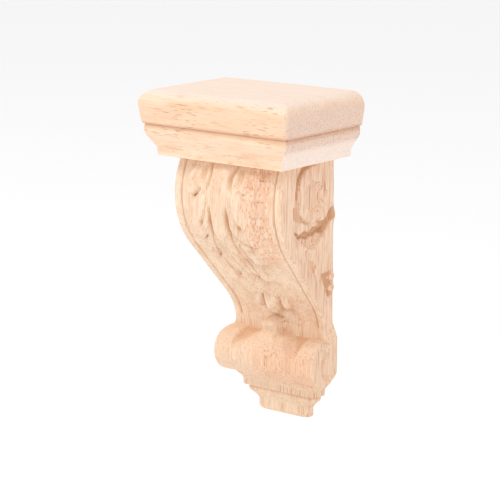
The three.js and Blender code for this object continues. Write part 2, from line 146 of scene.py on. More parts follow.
def foot_reach(height):
    """How far the foot's mouldings stand out: a block, a cove, a bead, a fillet, then the roll."""
    edge = np.sqrt(np.maximum(FOOT_EDGE_ROUND**2 - (FOOT_EDGE_ROUND - height)**2, 0))
    cove = COVE_REACH * np.clip((height - BLOCK_TOP) / (COVE_TOP - BLOCK_TOP), 0, 1)**1.6
    bead = np.sin(np.pi * np.clip((height - COVE_TOP) / (BEAD_TOP - COVE_TOP), 0, 1))
    toward_roll = np.clip((height - FILLET_TOP) / (ROLL_SHOULDER - FILLET_TOP), 0, 1)
    swell = np.sin(toward_roll * np.pi / 2)**1.3
    under_roll = FILLET_REACH + ((ROLL_WIDTH - FOOT_WIDTH) / 2 - FILLET_REACH) * swell
    return np.select(
        [height < FOOT_EDGE_ROUND, height < BLOCK_TOP, height < COVE_TOP, height < BEAD_TOP,
         height < FILLET_TOP],
        [edge - FOOT_EDGE_ROUND, 0 * height, cove, COVE_REACH + BEAD_REACH * bead,
         FILLET_REACH + 0 * height],
        under_roll)


def edge_depth(height):
    """Depth of the plain front at its two edges: the deepest of foot, S-curve and roll."""
    foot = FOOT_DEPTH + FOOT_DEPTH_SHARE * np.minimum(foot_reach(height), COVE_REACH * 2.4)
    foot = np.where(height < ROLL_SHOULDER, foot, 0)
    curve = np.where(height > ROLL_FOOT, curve_depth(height), 0)
    return np.maximum(np.maximum(foot, curve), roll_depth(height, ROLL_RADIUS))


def half_width(height, depth):
    """Half the width: the foot's below, the roll's round the roll, and a wall that splays
    forward above it."""
    back_of_roll = 2 * ROLL_DEPTH - roll_depth(height, ROLL_RADIUS)
    on_roll = ease(depth, back_of_roll - 1, back_of_roll + 3) * (height > ROLL_FOOT)
    low = FOOT_WIDTH / 2 + foot_reach(height)
    low = low + (ROLL_WIDTH / 2 - low) * on_roll
    wall = BACK_WIDTH / 2 + SIDE_SPLAY * depth
    to_front = np.clip(depth / NECK_DEPTH, 0, 1)
    flare_foot = ROLL_TOP - ROLL_RIM_ROUND * to_front
    flare_top = ROLL_TOP + ROLL_FLARE + (ROLL_FLARE_FRONT - ROLL_FLARE) * to_front
    high = ROLL_WIDTH / 2 + (wall - ROLL_WIDTH / 2) * ease(height, flare_foot, flare_top)
    return np.where(height < ROLL_SHOULDER, low, high)


# The leaf. Each lobe's lower edge leaves the stem at its eye and ends at its tip: shares of the
# face's half width across and of the leaf's length down, with the bend of the edge between them.
LEAF_LENGTH = 0.585 * BODY_HEIGHT
LOBES = [
    ((0.42, 0.19), (0.90, 0.248), 2.0),
    ((0.18, 0.35), (0.86, 0.515), 2.2),
    ((0.17, 0.49), (0.70, 0.66), 1.5),
    ((0.17, 0.70), (0.55, 0.80), 1.3),
    ((0.10, 0.84), (0.42, 0.93), 1.3),
]
FIRST_LOBE_LENGTH = 0.28
LOBE_LIFT = 1.0
LOBE_EDGE_ROUND = 0.5
FINGERS = 3
FINGER_DEPTH = 0.28
NOTCH_SHARE = 0.08
CROWN = [3.4, 4.4, 4.7, 4.4, 3.4, 2.5, 1.6, 0.8]
SPREAD = [1, 1, 0.98, 0.94, 0.84, 0.7, 0.56, 0.5]
STEM_HEIGHTS = [36, 48, 60, 70, 79, 89]
STEM_HALF_WIDTHS = [1.2, 2.0, 2.6, 2.9, 3.3, 4.3]
STEM_LIFT = 0.8
GROUND_HOLLOW = 0.6

# Where the leaf is torn, and where it is finely combed: the places at which either begins, is
# full, fades and ends.
TORN_ACROSS = (7.5, 10)
TORN_UP = (56, 60, 84, 87)
TORN_FLATNESS = 0.8
COMB_UP = (44, 48, 66, 72)
COMB_SPACING = 0.95
COMB_LEAN = 0.09
COMB_DEPTH = 0.15

# Narrow gouge cuts, each a line of places (across, up) with its width and depth in the middle;
# both ends run out to nothing. The first list is cut alike on both halves.
LEAF_CUTS = [
    ([(5.2, 89), (4.5, 86), (4.0, 84), (4.3, 81.5), (5.0, 79)], 1.3, 0.9),
    ([(7.2, 88), (7.4, 84.5), (7.0, 80.8)], 2.6, 0.8),
    ([(9.0, 88), (10.0, 84.5), (10.9, 82.3), (12.4, 80)], 1.0, 0.5),
    ([(13.4, 88), (13.8, 84.5), (14.4, 81)], 1.0, 0.35),
    ([(4.3, 79.5), (4.6, 76.5), (5.8, 72.5), (7.5, 69.6), (9.4, 67)], 1.1, 0.55),
    ([(7.2, 70.8), (7.9, 69.0)], 1.4, 0.6),
    ([(1.5, 86), (1.3, 80), (1.0, 74), (0.9, 68)], 0.8, 0.35),
    ([(3.2, 75.0), (3.4, 72), (3.5, 69), (3.8, 66.6)], 1.4, 1.25),
    ([(3.6, 67.6), (4.3, 63), (4.7, 58), (4.8, 53), (5.0, 48)], 1.1, 0.9),
    ([(4.4, 68), (6.2, 66.2), (8.6, 64.4), (11.6, 62.6)], 1.0, 0.5),
    ([(0.5, 67), (0.6, 61.5), (1.2, 54), (1.7, 48.5)], 0.9, 0.5),
    ([(5.9, 65), (6.6, 60), (7.2, 55), (6.8, 50)], 1.0, 0.7),
    ([(2.6, 66), (2.9, 60), (3.0, 54), (3.4, 49)], 0.8, 0.45),
    ([(7.9, 64.6), (8.9, 60), (9.2, 56)], 0.8, 0.4),
    ([(2.0, 54), (3.4, 52), (4.4, 50.4)], 1.9, 0.6),
    ([(2.6, 48.6), (4.0, 46.8)], 1.6, 0.45),
    ([(6.6, 47.6), (7.6, 45.4)], 1.6, 0.45),
]
ONE_SIDED_CUTS = [
    ([(-7.4, 80.2), (-8.5, 78.7), (-10.5, 77.5), (-13, 76.8)], 0.9, 0.5),
    ([(-7.6, 79.9), (-8.3, 78.9)], 1.0, 0.45),
    ([(-1.6, 67.5), (-1.8, 63.5), (-1.0, 59.5)], 1.9, 0.55),
    # This cut under the right side of the leaf's tip stands in for the shadow between tip and bud;
    # it is shaded and painted brown like the other cuts.
    ([(3.4, 36.8), (5.0, 35.8), (7.4, 36.2)], 3.0, 0.55),
    ([(6.2, 78.9), (7.4, 80.0), (8.8, 79.3), (10.4, 79.6)], 0.7, 0.6),
    ([(9.4, 86), (9.2, 80), (9.8, 74), (11, 68)], 0.9, 0.35),
    ([(10.8, 84.2), (15.8, 84.2)], 0.6, 0.35),
    ([(11.8, 77.6), (15.6, 77.6)], 0.6, 0.5),
    ([(10.8, 72.8), (15.6, 72.8)], 0.6, 0.5),
    ([(9.8, 63.4), (15.2, 63.4)], 0.6, 0.5),
    ([(9.8, 59.4), (13.4, 59.4)], 0.6, 0.5),
]


def along_line(across, height, places):
    """Distance to a bent line through the places, and the share of its length at the nearest
    point: the smallest of the distances to its straight stretches."""
    places = np.array(places, float)
    lengths = np.hypot(*np.diff(places, axis=0).T)
    starts = np.concatenate([[0], np.cumsum(lengths)])
    nearest = np.full(np.shape(across), np.inf)
    share = np.zeros(np.shape(across))
    for (x0, z0), (x1, z1), length, start in zip(places, places[1:], lengths, starts):
        t = ((across - x0) * (x1 - x0) + (height - z0) * (z1 - z0)) / length**2
        t = np.clip(t, 0, 1)
        away = np.hypot(across - x0 - t * (x1 - x0), height - z0 - t * (z1 - z0))
        share = np.where(away < nearest, (start + t * length) / starts[-1], share)
        nearest = np.minimum(nearest, away)
    return nearest, share


def cut_depth(across, height, places, width, depth):
    """A gouge cut with a flat bottom, widest in the middle and running out at both ends."""
    away, share = along_line(across, height, places)
    swell = np.sqrt(np.maximum(np.sin(np.pi * np.clip(share, 0.04, 0.96)), 0))
    return depth * swell * np.exp(-(away / (0.55 * width * (0.4 + 0.6 * swell)))**4)


def find_lobe(across, down):
    """For each place the number of its lobe, the lower edges of that lobe and of the one above,
    and whether it lies below the last lobe."""
    edges = []
    for (eye_x, eye_z), (tip_x, tip_z), bend in LOBES:
        along = np.clip((across - eye_x) / (tip_x - eye_x), 0, 1)
        edges.append(tip_z - (tip_z - eye_z) * (1 - along)**bend)
    edges = np.array(edges)
    number = np.minimum((down >= edges).sum(axis=0), len(LOBES) - 1)
    low = np.take_along_axis(edges, number[None], 0)[0]
    above = np.take_along_axis(edges, np.maximum(number - 1, 0)[None], 0)[0]
    high = np.where(number > 0, above, low - FIRST_LOBE_LENGTH)
    return number, low, high, down >= edges[-1]


def leaf_surface(x, height, across):
    """How far the uncut leaf stands out from the face. A pillow crowned along the middle carries
    the lobes; each lobe rises towards its own lower edge, is parted into fingers by soft valleys
    and ends in a scalloped tip, and is nearly flat where the wood is torn; a round stem runs down
    the middle, and the ground beside the leaf is slightly hollow."""
    down = (BODY_HEIGHT - height) / LEAF_LENGTH
    number, low, high, off_leaf = find_lobe(across, down)
    rise = np.clip((low - down) / np.maximum(low - high, 0.02), 0, 1)
    finger = np.abs(np.sin(np.pi * FINGERS * rise))**0.7
    eye_x = np.array([eye[0] for eye, _, _ in LOBES])[number]
    tip_x = np.array([tip[0] for _, tip, _ in LOBES])[number]
    reach = tip_x * (1 - NOTCH_SHARE * (1 - finger)) * (1 - 0.12 * (2 * rise - 0.7)**2)
    torn = ease(x, *TORN_ACROSS) * within(height, *TORN_UP)
    margin = np.maximum(1 - ease(across, reach - 0.2, reach), torn * (1 - ease(across, 0.6, 0.95)))
    on_leaf = margin * ~off_leaf
    place = np.clip(down, 0, 1) * (len(CROWN) - 1)
    spread = np.minimum(across / np.interp(place, range(len(SPREAD)), SPREAD), 1)
    pillow = np.interp(place, range(len(CROWN)), CROWN) * (1 - spread**2)**0.8
    off_stem = ease(across, eye_x - 0.05, eye_x + 0.14)
    edge_up = 1 - np.exp(-(low - down) * LEAF_LENGTH / LOBE_EDGE_ROUND)
    fade = (1 - 0.6 * ease(down, 0.35, 0.75)) * (1 - TORN_FLATNESS * torn)
    lift = fade * (LOBE_LIFT * edge_up * (1 - rise)**0.8 - FINGER_DEPTH * (1 - finger))
    stem_half = np.interp(height, STEM_HEIGHTS, STEM_HALF_WIDTHS)
    stem = STEM_LIFT * np.sqrt(np.maximum(1 - (x / stem_half)**2, 0))
    leaf = pillow + np.maximum(lift * off_stem, stem)
    ground = -GROUND_HOLLOW * (1 - across**2)
    return ground + (leaf - ground) * on_leaf


def leaf_relief(x, height, inner):
    """How far the carved face stands out from the S-curve, and how deep it is cut: the leaf, less
    its narrow cuts and the fine combing on its lower half."""
    across = np.minimum(np.abs(x) / inner, 1)
    cuts = sum(cut_depth(np.abs(x), height, *cut) for cut in LEAF_CUTS)
    cuts = cuts + sum(cut_depth(x, height, *cut) for cut in ONE_SIDED_CUTS)
    combed = np.sin(2 * np.pi * (np.abs(x) + COMB_LEAN * height) / COMB_SPACING)
    cuts = cuts + COMB_DEPTH * combed * within(height, *COMB_UP) * (1 - ease(across, 0.5, 0.7))
    return leaf_surface(x, height, across) - cuts * (across < 1), cuts


# The curled tip of the leaf: three toes side by side, each with its place across, its width, the
# depth of its front and the height of its lower end.
TOE_HEIGHT = 41.4
TOES = [(1.3, 5.6, 12.3, 35.6), (-3.9, 4.2, 12.0, 37.4), (5.9, 3.7, 10.0, 37.4)]
# Painted shade round the toes: its middle across, where it fades beside them, and the heights at
# which it begins, is full, fades and ends.
TOES_MIDDLE = 0.6
SHADE_BESIDE_TOES = (5.2, 8.2)
SHADE_ROUND_TOES_UP = (34.4, 36.4, 41, 44)


def tip_face(x, height):
    """Depth of the leaf's curled tip: upright toes, round in front and at their lower ends, which
    grow out of the sloping wall above. Also how far each place lies off the toes."""
    wall = curve_depth(height)
    faces, shares = [], []
    for place, width, depth, low in TOES:
        below = np.maximum(TOE_HEIGHT - height, 0) / (TOE_HEIGHT - low)
        inside = 1 - (2 * (x - place) / width)**2 - below**2
        rounded = wall + (depth - wall) * np.maximum(inside, 0)**0.45
        faces.append(np.where((inside > 0) & (depth > wall), rounded, 0))
        shares.append(np.clip(inside, 0, 1)**0.5)
    return np.maximum.reduce(faces), 1 - np.maximum.reduce(shares)


# The roll's fan of flutes, the hollows beside it, which deepen over the roll's top, and the
# tongue and bud that the fan draws up into, which stand a little left of the middle.
FAN_WIDTH = 20.6
FAN_LIFT = 0.7
FLUTE_DEPTH = 0.45
RIB_SPACING = 0.43
FAN_SHOULDER = ROLL_TOP - 5
HOLLOW_WIDTH = 25.4
HOLLOW_DEPTH = 3.2
HOLLOW_LINE_DEPTH = 0.35
TONGUE_WIDTH = 9
TONGUE_DEPTH = ROLL_DEPTH + 7.4
TONGUE_FLANK = 2.4
NICK_DEPTH = 1.2
BUD_PLACE = -0.9
BUD_WIDTH = 6.4
BUD_SIZE = 1.8
BUD_HEIGHT = ROLL_TOP + 3.8
BUD_DEPTH = ROLL_DEPTH + 6
BUD_STEP = 2.6


def fan_rise(height):
    """How far a height lies up from the fan's shoulder to the bud, from 0 to 1."""
    return np.clip((height - FAN_SHOULDER) / (BUD_HEIGHT - FAN_SHOULDER), 0, 1)


def in_hollow(x):
    """1 between the roll's plain ends, 0 on them."""
    return 1 - ease(np.abs(x), HOLLOW_WIDTH / 2 - 0.6, HOLLOW_WIDTH / 2 + 1)


def over_top(height):
    """0 on the roll's front, 1 over its top."""
    return ease(height, FAN_SHOULDER - 1, FAN_SHOULDER + 3)


def roll_face(x, height):
    """Depth of the roll: plain at both ends, hollowed beside the fan, fluted on it."""
    plain = roll_depth(height, ROLL_RADIUS)
    fan_half = FAN_WIDTH / 2 + (BUD_WIDTH - FAN_WIDTH) / 2 * fan_rise(height)
    share = x / fan_half
    on_fan = 1 - ease(np.abs(share), 0.9, 1.08)
    rib = np.abs(np.cos(np.pi * share / RIB_SPACING))
    fan = roll_depth(height, ROLL_RADIUS + FAN_LIFT) - FLUTE_DEPTH * (1 - rib**1.3)
    taken = HOLLOW_LINE_DEPTH + (HOLLOW_DEPTH - HOLLOW_LINE_DEPTH) * over_top(height)
    hollow = plain - taken * in_hollow(x)
    return np.where(plain > 0, hollow + (fan - hollow) * on_fan, 0)


def tongue_face(x, height):
    """Depth of the tongue: it narrows and sinks back as it rises from the fan to the bud, has
    hollow flanks and is nicked across under the bud."""
    rise = fan_rise(height)
    half = (TONGUE_WIDTH + (BUD_WIDTH - TONGUE_WIDTH) * rise) / 2
    nick = NICK_DEPTH * hump(height, BUD_HEIGHT - BUD_SIZE - 0.7, 0.8)
    ridge = TONGUE_DEPTH + (BUD_DEPTH - BUD_STEP - TONGUE_DEPTH) * rise - nick
    wall = curve_depth(height)
    flank = 1 - ease(np.abs(x), half - 1.2, half - 1.2 + TONGUE_FLANK)
    return np.where((rise > 0) & (rise < 1), wall + (ridge - wall) * flank, 0)


def bud_face(x, height):
    """Depth of the small bud on top of the fan, a smooth mound on the wall."""
    away = (2 * x / BUD_WIDTH)**2 + ((height - BUD_HEIGHT) / BUD_SIZE)**2
    wall = curve_depth(height)
    return np.where(away < 1, wall + (BUD_DEPTH - wall) * np.maximum(1 - away, 0)**0.45, 0)


# The carved sides: a scroll eye at the top, leaf edges curling under it, a pocket by the back
# and a smaller scroll eye on the roll's end. Lines are given as (depth, height), half widths as
# (depth, width), the groove as (degrees round the eye, width), the pocket's front as (height,
# depth) and lobes as (height, reach, size). Four values FORWARD (depths), UP (heights) or TURN
# (degrees round the eye, up from straight forward) are where a form begins, is full, fades and
# ends.
SIDE_CUT_DEPTH = 1.4
SCROLL_DEPTH = 12.4
SCROLL_HEIGHT = BODY_HEIGHT - 11
SCROLL_RADIUS = 9
GROOVE_WIDTHS = [(-20, 1.5), (0, 1.8), (45, 3.0), (75, 2.4), (110, 0.8)]
GROOVE_TURN = (-22, -12, 85, 112)
DISH_RADIUS = 5.6
DISH_DEPTH = 1.5
DISH_BACK = 0.7
DISH_DROP = 1
# Where brown shade is painted on the dish's wall, as turns round the eye.
SHADED_DISH_WALL_TURN = (-70, -30, 80, 120)
DISH_LIP = 0.45
DISH_LIP_RADIUS = 7.4
DISH_LIP_END = (-70, -40)
LEDGE_TOP = 75.5
LEDGE_FOOT_LINE = [(6, 68), (15.8, 68.4), (20, 69.6), (24.4, 71.2), (24.8, 76)]
LEDGE_FORWARD = (5, 10, 24.2, 24.8)
BAND_LINE = [(0, 70.4), (6.4, 66.3), (8.4, 66.6), (10.6, 65.5), (12.8, 66.0), (15.4, 65.0),
             (18, 65.8), (21, 65.4), (24, 67.4)]
BAND_HALF_WIDTHS = [(0, 2.4), (3, 2.7), (7, 2.4), (10, 2.0), (17, 1.4), (23, 0.7), (24, 0.3)]
BAND_END = (22.6, 24)
SCOOP_FOOT_LINE = [(3, 68.5), (7, 63.4), (14, 60.6), (22, 64.0)]
SCOOP_FORWARD = (3.5, 6, 18, 22)
SCOOP_DEPTH = 1.2
SCOOP_LIP = 0.5
SCOOP_LIP_FORWARD = (5, 7, 19, 22)
SIDE_LEAF_CUT = ([(14, 57), (12.4, 54), (10.4, 51.6)], 2.0, 0.9)
POCKET_UP = (41, 43, 50.3, 51.8)
POCKET_FRONTS = [(41, 2.4), (44, 4.2), (48, 6.4), (51, 7.8)]
POCKET_BACK = 1.8
SCALLOP_REACH = 1.1
SCALLOP_SPACING = 3.6
SCALLOP_HEIGHT = 49
BACK_LOBES = [(49.3, 1.2, 0.5), (45.6, 1.1, 0.5), (69.4, 2.0, 0.7)]
BACK_LOBE_REACH = 2.2
ROLL_EYE_RADIUS = 4
ROLL_EYE_DEPTH = 0.7
ROLL_EYE_BACK = 1.2
ROLL_EYE_DROP = 0.6


def wave(value, line):
    """A curve through the points (place, height) of a line, level at each of them."""
    places, heights = np.array(line, float).T
    start = np.clip(np.searchsorted(places, value, "right") - 1, 0, len(places) - 2)
    share = ease(value, places[start], places[start + 1])
    return heights[start] + (heights[start + 1] - heights[start]) * share


def straight(value, line):
    """Straight stretches between the points (place, height) of a line."""
    places, heights = np.array(line, float).T
    return np.interp(value, places, heights)


def scroll_groove(away, turn):
    """The crescent groove round the front of the scroll eye."""
    width = wave(turn, GROOVE_WIDTHS)
    off_middle = np.abs(away - SCROLL_RADIUS - width / 2)
    return (1 - ease(off_middle, width * 0.25, width * 0.55)) * within(turn, *GROOVE_TURN)


def scroll_dish(away, turn, from_dish):
    """The dish in the scroll eye, less the lip left standing round its lower side."""
    lip = DISH_LIP * hump(away, DISH_LIP_RADIUS, 0.9) * (1 - ease(turn, *DISH_LIP_END))
    return DISH_DEPTH * (1 - ease(from_dish, DISH_RADIUS - 1.7, DISH_RADIUS)) - lip


def leaf_ledge(depth, height, away):
    """The flat ledge between the groove's lower end and the band."""
    foot = wave(depth, LEDGE_FOOT_LINE)
    off_scroll = ease(away, SCROLL_RADIUS, SCROLL_RADIUS + 0.7)
    up = within(height, foot, foot + 0.7, LEDGE_TOP - 0.5, LEDGE_TOP)
    return up * off_scroll * within(depth, *LEDGE_FORWARD)


def leaf_band(depth, height):
    """The ragged band cut in under the scroll, from the back edge to a point in front."""
    half = straight(depth, BAND_HALF_WIDTHS)
    off_middle = np.abs(height - wave(depth, BAND_LINE))
    return (1 - ease(off_middle, half * 0.65, half)) * (1 - ease(depth, *BAND_END))


def leaf_scoop(depth, height):
    """The hollow scooped out under the band, less the lip left standing below it."""
    foot = wave(depth, SCOOP_FOOT_LINE)
    rise = np.clip((height - foot) / np.maximum(wave(depth, BAND_LINE) - foot, 0.4), 0, 1)
    scoop = SCOOP_DEPTH * np.sin(np.pi * rise**0.6) * within(depth, *SCOOP_FORWARD)
    return scoop - SCOOP_LIP * hump(height, foot - 0.5, 0.6) * within(depth, *SCOOP_LIP_FORWARD)


def back_pocket(depth, height):
    """The pocket near the back edge, scalloped along its back."""
    front = straight(height, POCKET_FRONTS)
    back = POCKET_BACK + SCALLOP_REACH * np.cos(
        (height - SCALLOP_HEIGHT) * 2 * np.pi / SCALLOP_SPACING)
    return within(height, *POCKET_UP) * within(depth, back - 0.8, back + 0.8, front - 1.2, front)


def roll_eye(depth, height):
    """The groove round the front of the small eye on the roll's end."""
    forward = depth - ROLL_DEPTH + ROLL_EYE_BACK
    up = height - ROLL_HEIGHT + ROLL_EYE_DROP
    off_line = np.abs(np.hypot(forward, up) - ROLL_EYE_RADIUS)
    return ROLL_EYE_DEPTH * (1 - ease(off_line, 0.2, 1.1)) * ease(forward, -2, 0.5)


def back_lobes(depth, height):
    """Round lobes that stand out at the back edge."""
    lobes = sum(size * hump(height, place, reach) for place, reach, size in BACK_LOBES)
    return lobes * hump(depth, 0, BACK_LOBE_REACH)


def side_cut(depth, height):
    """How far the side is cut in at each place, and how much brown shade is painted there: in the
    groove, band, ledge, pocket and leaf cut, and on the dish's front and upper wall. The groove,
    band, ledge and pocket are one level deep; the rest are added to them."""
    forward = depth - SCROLL_DEPTH
    up = height - SCROLL_HEIGHT
    away = np.hypot(forward, up)
    turn = np.degrees(np.arctan2(up, forward))
    from_dish = np.hypot(forward + DISH_BACK, up + DISH_DROP)
    groove = scroll_groove(away, turn)
    band = leaf_band(depth, height)
    leaf_cut = cut_depth(depth, height, *SIDE_LEAF_CUT)
    level = np.maximum.reduce([
        groove, band * ease(depth, 0.3, 2.4), leaf_ledge(depth, height, away) * 0.6,
        back_pocket(depth, height) * 0.8])
    cut = (SIDE_CUT_DEPTH * level + scroll_dish(away, turn, from_dish) + leaf_scoop(depth, height)
           + leaf_cut + roll_eye(depth, height) - back_lobes(depth, height))
    # Painted shade: brown in the recesses and on the dish's front and upper wall, less at the
    # groove's lower end.
    shaded_dish_wall = hump(from_dish, DISH_RADIUS - 0.8, 1) * within(turn, *SHADED_DISH_WALL_TURN)
    painted_shade = np.maximum.reduce([
        level * (1 - 0.6 * groove * (1 - ease(turn, -8, 4))), leaf_cut * 0.6, band * 0.9,
        shaded_dish_wall * 0.7])
    return np.where(height > ROLL_FOOT, cut, 0), painted_shade


FOOT_RINGS = 46
ROLL_RINGS = 60
LEAF_RINGS = 208
SIDE_COLUMNS = 70
CORNER_COLUMNS = 4
RIM_COLUMNS = 12
FACE_COLUMNS = 143
EDGE_GAP = 0.3


def body_levels():
    """Heights of the rings: even in the foot, closer at the roll's top and underside, even up
    the leaf."""
    foot = np.linspace(0, ROLL_FOOT, FOOT_RINGS, endpoint=False)
    roll = ROLL_HEIGHT - ROLL_RADIUS * np.cos(np.linspace(0, np.pi, ROLL_RINGS))
    leaf = np.linspace(ROLL_TOP, BODY_HEIGHT, LEAF_RINGS + 1)[1:]
    return np.concatenate([foot, roll, leaf])


def side_columns(height, front, half, corner, corner_depth):
    """The left side from the back and its round front corner: the points, how far each lies on
    the side, and how much painted shade it gets."""
    depth = front * np.arange(SIDE_COLUMNS) / SIDE_COLUMNS
    level = height + 0 * depth
    taken, painted_shade = side_cut(depth, level)
    side_x = half_width(level, depth) - taken
    turn = np.linspace(0, np.pi / 2, CORNER_COLUMNS + 1)[None]
    corner_x = half - corner + corner * np.cos(turn)
    corner_y = front + corner_depth * np.sin(turn)
    x = np.hstack([side_x, corner_x])
    y = np.hstack([depth, corner_y])
    on_side = np.hstack([1 + 0 * side_x, np.cos(turn) + 0 * corner_x])
    return np.stack([-x, -y, height + 0 * x], -1), on_side, np.hstack([painted_shade, 0 * corner_x])


def face_places(half, corner):
    """Places across the front between its round corners, closer together on the rims."""
    line = half - np.maximum(RIM_WIDTH, corner + RIM_LINE_WIDTH)
    rim = np.linspace(1, 0, RIM_COLUMNS, endpoint=False)[None]
    rim = line - RIM_LINE_WIDTH + rim * (half - corner - line + RIM_LINE_WIDTH - EDGE_GAP)
    face = np.linspace(-1, 1, FACE_COLUMNS)[None] * (line - RIM_LINE_WIDTH)
    return np.hstack([-rim, face, rim[:, ::-1]])


def face_painted_shade(x, height, cuts, on_roll, off_toes):
    """Painted shade on the front: in its cuts, in the roll's hollows and round the toes."""
    rise = fan_rise(height)
    beside_fan = ease(np.abs(x), FAN_WIDTH / 2 * (1 - rise), FAN_WIDTH / 2 * (1.4 - rise))
    hollow = 0.6 * in_hollow(x) * over_top(height) * (height < ROLL_TOP) * beside_fan
    painted_shade = (hollow * on_roll + cuts * (1 - on_roll)) * (height > ROLL_FOOT + FOOT_OVERLAP)
    # Painted shade round and between the toes.
    shade_round_toes = 1 - ease(np.abs(x - TOES_MIDDLE), *SHADE_BESIDE_TOES)
    shade_round_toes = shade_round_toes * within(height, *SHADE_ROUND_TOES_UP)
    return np.maximum(painted_shade, 0.5 * off_toes * shade_round_toes)


def face_columns(height, depth, front, half, corner):
    """The front: its points and how much painted shade each gets. The leaf's relief stands square
    to the S-curve; the roll, fan, bud and toes stand straight forward and hide what lies behind."""
    x = face_places(half, corner)
    z = height + 0 * x
    inner = half_width(height, front) - RIM_WIDTH
    relief, cuts = leaf_relief(x, z, inner)
    rim_line = hump(np.abs(x), inner, 0.42 * RIM_LINE_WIDTH) * (z > ROLL_TOP)
    relief = np.where(np.abs(x) < inner, relief, 0) * (z > ROLL_TOP) - RIM_LINE_DEPTH * rim_line
    lean = curve_lean(z)
    carved = curve_depth(z) + relief * np.cos(lean)
    toes, off_toes = tip_face(x, z)
    forward = np.maximum.reduce([
        roll_face(x, z), tongue_face(x - BUD_PLACE, z), bud_face(x - BUD_PLACE, z), toes])
    on_roll = ease(forward - carved, -0.3, 0.5)
    in_foot = height < ROLL_FOOT + FOOT_OVERLAP
    y = np.where(in_foot, depth, np.maximum(forward, carved))
    up = np.where(in_foot, height, z - relief * np.sin(lean) * (1 - on_roll))
    # The cuts' depth and the rim line are painted brown, as shade in them.
    cuts = np.clip(np.maximum(cuts / 1.4, 0.65 * rim_line), 0, 1)
    return np.stack([x, -y, up], -1), face_painted_shade(x, z, cuts, on_roll, off_toes)


def body_rings(levels):
    """Rings of points (level, place, xyz) with how far each lies on a side and how much painted
    shade it gets: up the left side's depth, round its corner, across the front, and back down the
    right, which mirrors the left."""
    height = levels[:, None]
    depth = edge_depth(height)
    corner = ARRIS_ROUND + (FOOT_CORNER_ROUND - ARRIS_ROUND) * (
        1 - ease(height, ROLL_FOOT - 2, ROLL_FOOT))
    corner_depth = np.minimum(corner, depth * CORNER_SHARE)
    front = depth - corner_depth
    half = half_width(height, front)
    left, on_side, side_painted_shade = side_columns(height, front, half, corner, corner_depth)
    face, painted_shade = face_columns(height, depth, front, half, corner)
    rings = np.concatenate([left, face, left[:, ::-1] * [-1, 1, 1]], 1)
    rings[..., 2] += FOOT_LEVEL
    on_side = np.hstack([on_side, 0 * painted_shade, on_side[:, ::-1]])
    return rings, on_side, np.hstack([side_painted_shade, painted_shade, side_painted_shade[:, ::-1]])


SHARP_ANGLE = 55


def stack_rings(name, rings, side, painted_shade):
    """A closed piece from rings of points, one above the other and counter-clockwise seen from
    above: bands of four-sided faces, with each flat end filled from a point in its middle. How
    far each point lies on a side and how much painted shade it gets are kept for the wood's
    colours."""
    levels, count, _ = rings.shape
    corner = np.arange(levels * count).reshape(levels, count)
    after = np.roll(corner, -1, 1)
    sides = np.stack([corner[:-1], after[:-1], after[1:], corner[1:]], -1).reshape(-1, 4)
    low = levels * count
    high = low + 1
    bottom = np.stack([np.full(count, low), after[0], corner[0]], -1)
    top = np.stack([np.full(count, high), corner[-1], after[-1]], -1)
    middles = rings[[0, -1]].mean(1) * [0, 1, 1]
    points = np.vstack([rings.reshape(-1, 3), middles]) / 1000
    mesh = bpy.data.meshes.new(name)
    mesh.from_pydata(points.tolist(), [], sides.tolist() + bottom.tolist() + top.tolist())
    mesh.polygons.foreach_set("use_smooth", np.ones(len(mesh.polygons), bool))
    mesh.set_sharp_from_angle(angle=math.radians(SHARP_ANGLE))
    # The cut attribute holds the painted shade.
    for label, shares in (("side", side), ("cut", painted_shade)):
        values = np.concatenate([shares.ravel(), [0, 0]]).astype(np.float32)
        mesh.attributes.new(label, "FLOAT", "POINT").data.foreach_set("value", values)
    piece = bpy.data.objects.new(name, mesh)
    bpy.context.scene.collection.objects.link(piece)
    return piece


def paint(red, green, blue):
    """A colour as the eye names it, 0 to 255, as the linear values that the shader takes."""
    share = np.array([red, green, blue]) / 255
    linear = np.where(share > 0.04045, ((share + 0.055) / 1.055)**2.4, share / 12.92)
    return (*linear.tolist(), 1.0)


